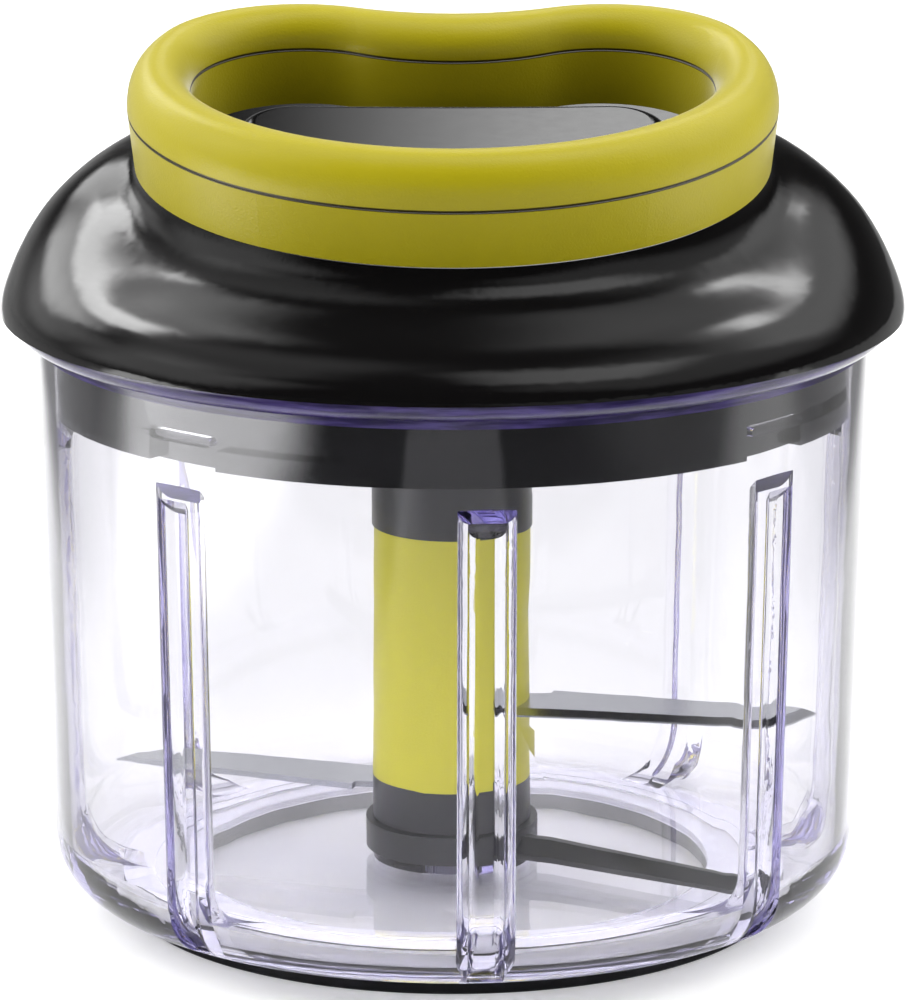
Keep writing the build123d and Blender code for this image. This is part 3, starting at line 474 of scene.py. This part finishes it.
def lip_curve(wall_r, foot_z, depth):
    """Up the wall, round the lip's edge and up to its top, all at one depth under the surface."""
    centre = (LIP_R - LIP_ROUND, LIP_FOOT_Z + LIP_ROUND)
    curve = [(wall_r, WALL_BAND_FOOT_Z), (wall_r, foot_z)]
    curve += arc(centre, LIP_ROUND - depth, -80, 0, 10)
    return curve + [(curve[-1][0], LIP_TOP_Z - BAND_DEPTH)]


def make_painted_lip_band(material):
    """Band of painted violet edge light just under the surface of the lip's rounded edge and of the wall
    below it.
    """
    outer = lip_curve(WALL_BAND_R, LIP_FOOT_Z + BAND_DEPTH, BAND_DEPTH)
    inner_r = WALL_BAND_R - BAND_THICKNESS / 2
    inner = lip_curve(inner_r, LIP_FOOT_Z + BAND_THICKNESS, BAND_DEPTH + BAND_THICKNESS)
    turned("painted_lip_light_band", outer + inner[::-1], material)


def make_foot_ring(material):
    """The non-slip ring, a hair below the bowl so that light gets between them."""
    top = FOOT_TOP_Z - FOOT_GAP
    near = TONGUE_R - TONGUE_WIDTH / 2 + FOOT_GAP
    far = TONGUE_R + TONGUE_WIDTH / 2 - FOOT_GAP
    profile = arc((FOOT_INNER_R + FOOT_ROUND, FOOT_ROUND), FOOT_ROUND, 180, 270, 6)
    profile += arc((FOOT_OUTER_R - FOOT_ROUND, FOOT_ROUND), FOOT_ROUND, 270, 360, 6)
    profile += [(FOOT_OUTER_R, top), (far, top), (far, top + TONGUE_HEIGHT)]
    profile += [(near, top + TONGUE_HEIGHT), (near, top), (FOOT_INNER_R, top)]
    piece = turned("non_slip_ring_glued", profile[::-1], material)
    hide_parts("non_slip_ring")


# ---- floor ---------------------------------------------------------------------------------
def mirrored_card(tree, x, y):
    """What mirrors see in the floor: how dark the card is, and the strip of light at its left."""
    strip = tree.product(
        tree.smooth_step(x, -0.30, -0.20, 1.0, 0.0),
        tree.smooth_step(y, -0.38, -0.28),
        tree.smooth_step(y, -0.02, 0.06, 1.0, 0.0),
    )
    in_front = tree.product(
        tree.smooth_step(y, -0.13, -0.06, 1.0, 0.0),
        tree.math("SUBTRACT", 1.0, strip),
        tree.smooth_step(x, 0.20, 0.31, 1.0, 0.85),
    )
    off_axis = tree.math("ABSOLUTE", x)
    corner = tree.product(tree.smooth_step(y, 0.0, 0.12), tree.smooth_step(off_axis, 0.18, 0.26), 0.8)
    return tree.larger(in_front, corner), strip


def beside_bowl(tree, x, y, flare, fade, darkness):
    """Rises to darkness beside the bowl, over a line that flares out behind it."""
    start, slope = flare
    line = tree.math("ADD", tree.math("MULTIPLY", tree.larger(y, 0.0), slope), start)
    past_line = tree.math("SUBTRACT", tree.math("ABSOLUTE", x), line)
    return tree.smooth_step(past_line, 0.0, fade, 0.0, darkness)


def floor_darkness(tree, rays, x, y):
    """How dark the floor is to a ray, 0 to 1, and the strip of light that mirrors see."""
    near_wall_faces = 3.5    # a ray that passed fewer faces than this has met the near wall only
    near_wall = tree.math("LESS_THAN", rays.glass_faces, near_wall_faces)
    inside_wall = tree.math("MULTIPLY", rays.out_of_glass, near_wall)
    straight = tree.math("MULTIPLY", rays.unscattered, rays.out_of_glass)
    card, strip = mirrored_card(tree, x, y)
    card = tree.product(card, rays.mirrored, tree.math("SUBTRACT", 1.0, inside_wall))
    bent = tree.product(beside_bowl(tree, x, y, (0.07, 0.45), 0.10, 0.60), straight)
    edge = tree.product(beside_bowl(tree, x, y, (0.065, 0.10), 0.02, 0.92), inside_wall, rays.mirrored)
    veil = tree.math("MULTIPLY", straight, 0.31)
    through_glass = tree.larger(tree.larger(bent, edge), veil)
    return tree.larger(card, through_glass), tree.math("MULTIPLY", strip, rays.mirrored)


def floor_material():
    """Pale, with a glow that makes it look white and still keeps the shadow."""
    material = bpy.data.materials.new("floor_pale")
    material.use_nodes = True
    tree = Tree(material.node_tree)
    rays = Rays(tree)
    place = tree.split(tree.spot())
    darkness, strip = floor_darkness(tree, rays, place["X"], place["Y"])
    white = tree.tint(darkness, (0.80, 0.80, 0.80), (0.02, 0.02, 0.02))
    diffuse = tree.add("ShaderNodeBsdfDiffuse", {"Color": white})
    glow_level = tree.mixed(darkness, tree.mixed(rays.out_of_glass, 0.28, 0.10), 0.01)
    glow_level = tree.math("ADD", glow_level, tree.math("MULTIPLY", strip, 2.6))
    strength = tree.math("MULTIPLY", rays.seen, glow_level)
    glow = tree.add("ShaderNodeEmission", {"Color": (1, 1, 1, 1), "Strength": strength})
    both = tree.add("ShaderNodeAddShader", {0: diffuse.outputs[0], 1: glow.outputs[0]})
    tree.add("ShaderNodeOutputMaterial", {"Surface": both.outputs[0]})
    return material


def make_floor():
    half = 6.0
    corners = [(-half, -half, 0), (half, -half, 0), (half, half, 0), (-half, half, 0)]
    mesh = bpy.data.meshes.new("floor")
    mesh.from_pydata(corners, [], [(0, 1, 2, 3)])
    mesh.materials.append(floor_material())
    floor = link("floor", mesh)


# ---- world ---------------------------------------------------------------------------------
SOFTBOXES = (
    # azimuth, elevation, half width, half height, soft edge, strength
    (-149, 42, 2.5, 2.5, 3.2, 6.5),
    (-142, 31, 2, 4, 8, 2.8),
    (-132, 24, 5, 5, 14, 0.8),
    (-160, 29.5, 4, 5, 6, 2.4),
    (-159, 42.5, 3, 3, 6, 1.2),
    (-84, 32, 12, 10, 24, 0.9),
    (-120, 60, 12, 8, 14, 0.4),
    (156, 43, 1.2, 0.8, 3, 5.0),
    (138, 40, 6, 4, 12, 0.9),
    (163, 43, 5, 4, 7, 0.45),
    (100, 74, 8, 7, 12, 1.2),
    (85, 52, 22, 12, 22, 0.4),
    (174.5, 33, 3, 3, 4, 2.6),
)


def direction(azimuth, elevation):
    """Unit vector: azimuth from the front (-Y) towards +X, both in degrees."""
    a, e = radians(azimuth), radians(elevation)
    return Vector((sin(a) * cos(e), -cos(a) * cos(e), sin(e)))


def softbox(tree, ray, azimuth, elevation, half_width, half_height, edge, strength):
    """A soft-edged window of light in the world, sizes in degrees."""
    forward = direction(azimuth, elevation)
    level = Vector((-forward.y, forward.x, 0)).normalized()
    upright = forward.cross(level)
    if upright.z < 0:
        upright = -upright
    ahead = tree.larger(tree.dot(ray, forward), 0.001)
    mask = tree.smooth_step(ahead, 0.05, 0.15, 0.0, strength)
    for axis, half in ((level, half_width), (upright, half_height)):
        across = tree.math("ABSOLUTE", tree.math("DIVIDE", tree.dot(ray, axis), ahead))
        inside = tree.smooth_step(across, tan(radians(half)), tan(radians(half + edge)), 1.0, 0.0)
        mask = tree.math("MULTIPLY", mask, inside)
    return mask


def mirrored_studio(tree, ray, axes):
    """What mirrors see: a dark room with a grey backdrop low behind, and the softboxes."""
    behind = tree.smooth_step(axes["Y"], 0.0, 0.6)
    low = tree.smooth_step(axes["Z"], 0.0, 0.35, 1.0, 0.0)
    left = tree.smooth_step(axes["X"], -0.15, 0.30, 1.0, 0.10)
    studio = tree.math("ADD", tree.product(behind, low, left, 0.35), 0.02)
    for box in SOFTBOXES:
        studio = tree.math("ADD", studio, softbox(tree, ray, *box))
    return studio


def soft_light(tree, axes):
    """What lights matt surfaces: strong from above and from the sides, weak from the front."""
    high = tree.smooth_step(axes["Z"], -0.04, 0.12)
    front = tree.smooth_step(axes["Y"], -0.30, 0.0, 0.13, 1.0)
    at_side = tree.smooth_step(tree.math("ABSOLUTE", axes["X"]), 0.15, 0.70, 0.70, 3.0)
    zenith = tree.smooth_step(axes["Z"], 0.78, 0.97, 0.0, 3.6)
    from_above = tree.math("MULTIPLY", tree.larger(at_side, zenith), front)
    return tree.mixed(high, 1.9, from_above)


def light_into_bowl(tree, rays, axes):
    """What lights matt surfaces through clear plastic, more where many faces take light away."""
    from_left = tree.smooth_step(axes["X"], -1.0, 1.0, 4.4, 2.4)
    return tree.math("MULTIPLY", from_left, tree.smooth_step(rays.glass_faces, 4.0, 6.0, 1.0, 7.0))


def make_world():
    """White where it is seen, a dark studio with softboxes where it is mirrored."""
    world = bpy.data.worlds.new("studio")
    bpy.context.scene.world = world
    world.use_nodes = True
    tree = Tree(world.node_tree)
    rays = Rays(tree)
    ray = tree.add("ShaderNodeTexCoord").outputs["Generated"]
    axes = tree.split(ray)
    dark_sides = tree.smooth_step(axes["Y"], 0.10, 0.55, 0.72, 1.0)
    dark_right = tree.smooth_step(axes["X"], -0.3, 0.6, 1.0, 0.55)
    in_glass = tree.math("MULTIPLY", dark_sides, dark_right)
    direct = tree.mixed(rays.out_of_glass, 1.0, dark_sides)
    reflection = tree.mixed(rays.out_of_glass, mirrored_studio(tree, ray, axes), in_glass)
    overhead = tree.mixed(rays.out_of_glass, soft_light(tree, axes), light_into_bowl(tree, rays, axes))
    level = tree.mixed(rays.scattered, tree.mixed(rays.mirrored, direct, reflection), overhead)
    shader = tree.add("ShaderNodeBackground", {"Color": (1, 1, 1, 1), "Strength": level})
    tree.add("ShaderNodeOutputWorld", {"Surface": shader.outputs[0]})


# ---- lamps and camera ----------------------------------------------------------------------
def make_lamp(name, place, size, energy):
    """A round soft lamp that shines on the part and shows in no mirror and no glass."""
    light = bpy.data.lights.new(name, "AREA")
    light.shape = "DISK"
    light.size = size
    light.energy = energy
    lamp = link(name, light)
    lamp.location = place
    aim = LAMP_TARGET - Vector(place)
    lamp.rotation_euler = aim.to_track_quat("-Z", "Y").to_euler()
    lamp.visible_glossy = False
    lamp.visible_camera = False
    lamp.visible_transmission = False


def make_camera():
    camera = bpy.data.cameras.new("camera")
    camera.lens = CAMERA_LENS
    camera.sensor_width = 36
    camera.clip_start = 0.01
    holder = link("camera", camera)
    holder.location = CAMERA_PLACE
    holder.rotation_euler = Euler((pi / 2 - CAMERA_PITCH, 0, 0))
    bpy.context.scene.camera = holder


# ---- build ---------------------------------------------------------------------------------
materials = make_materials()
dress_nodes(materials)
make_pull_cord(materials["cord"])
# the lip's band carries painted edge light
make_painted_lip_band(painted_edge_light("painted_lip_edge_light"))
make_foot_ring(materials["soft_rubber"])
make_floor()
make_world()
make_lamp("key", (-0.95, -0.10, 1.00), 0.8, 5.4)
make_lamp("fill", (0.95, 0.05, 0.90), 0.9, 3.5)
make_camera()

scene = bpy.context.scene
scene.view_settings.view_transform = "Standard"
# light runs on for many bounces inside the bowl's wall
scene.cycles.max_bounces = 32
scene.cycles.glossy_bounces = 16
scene.cycles.transmission_bounces = 24
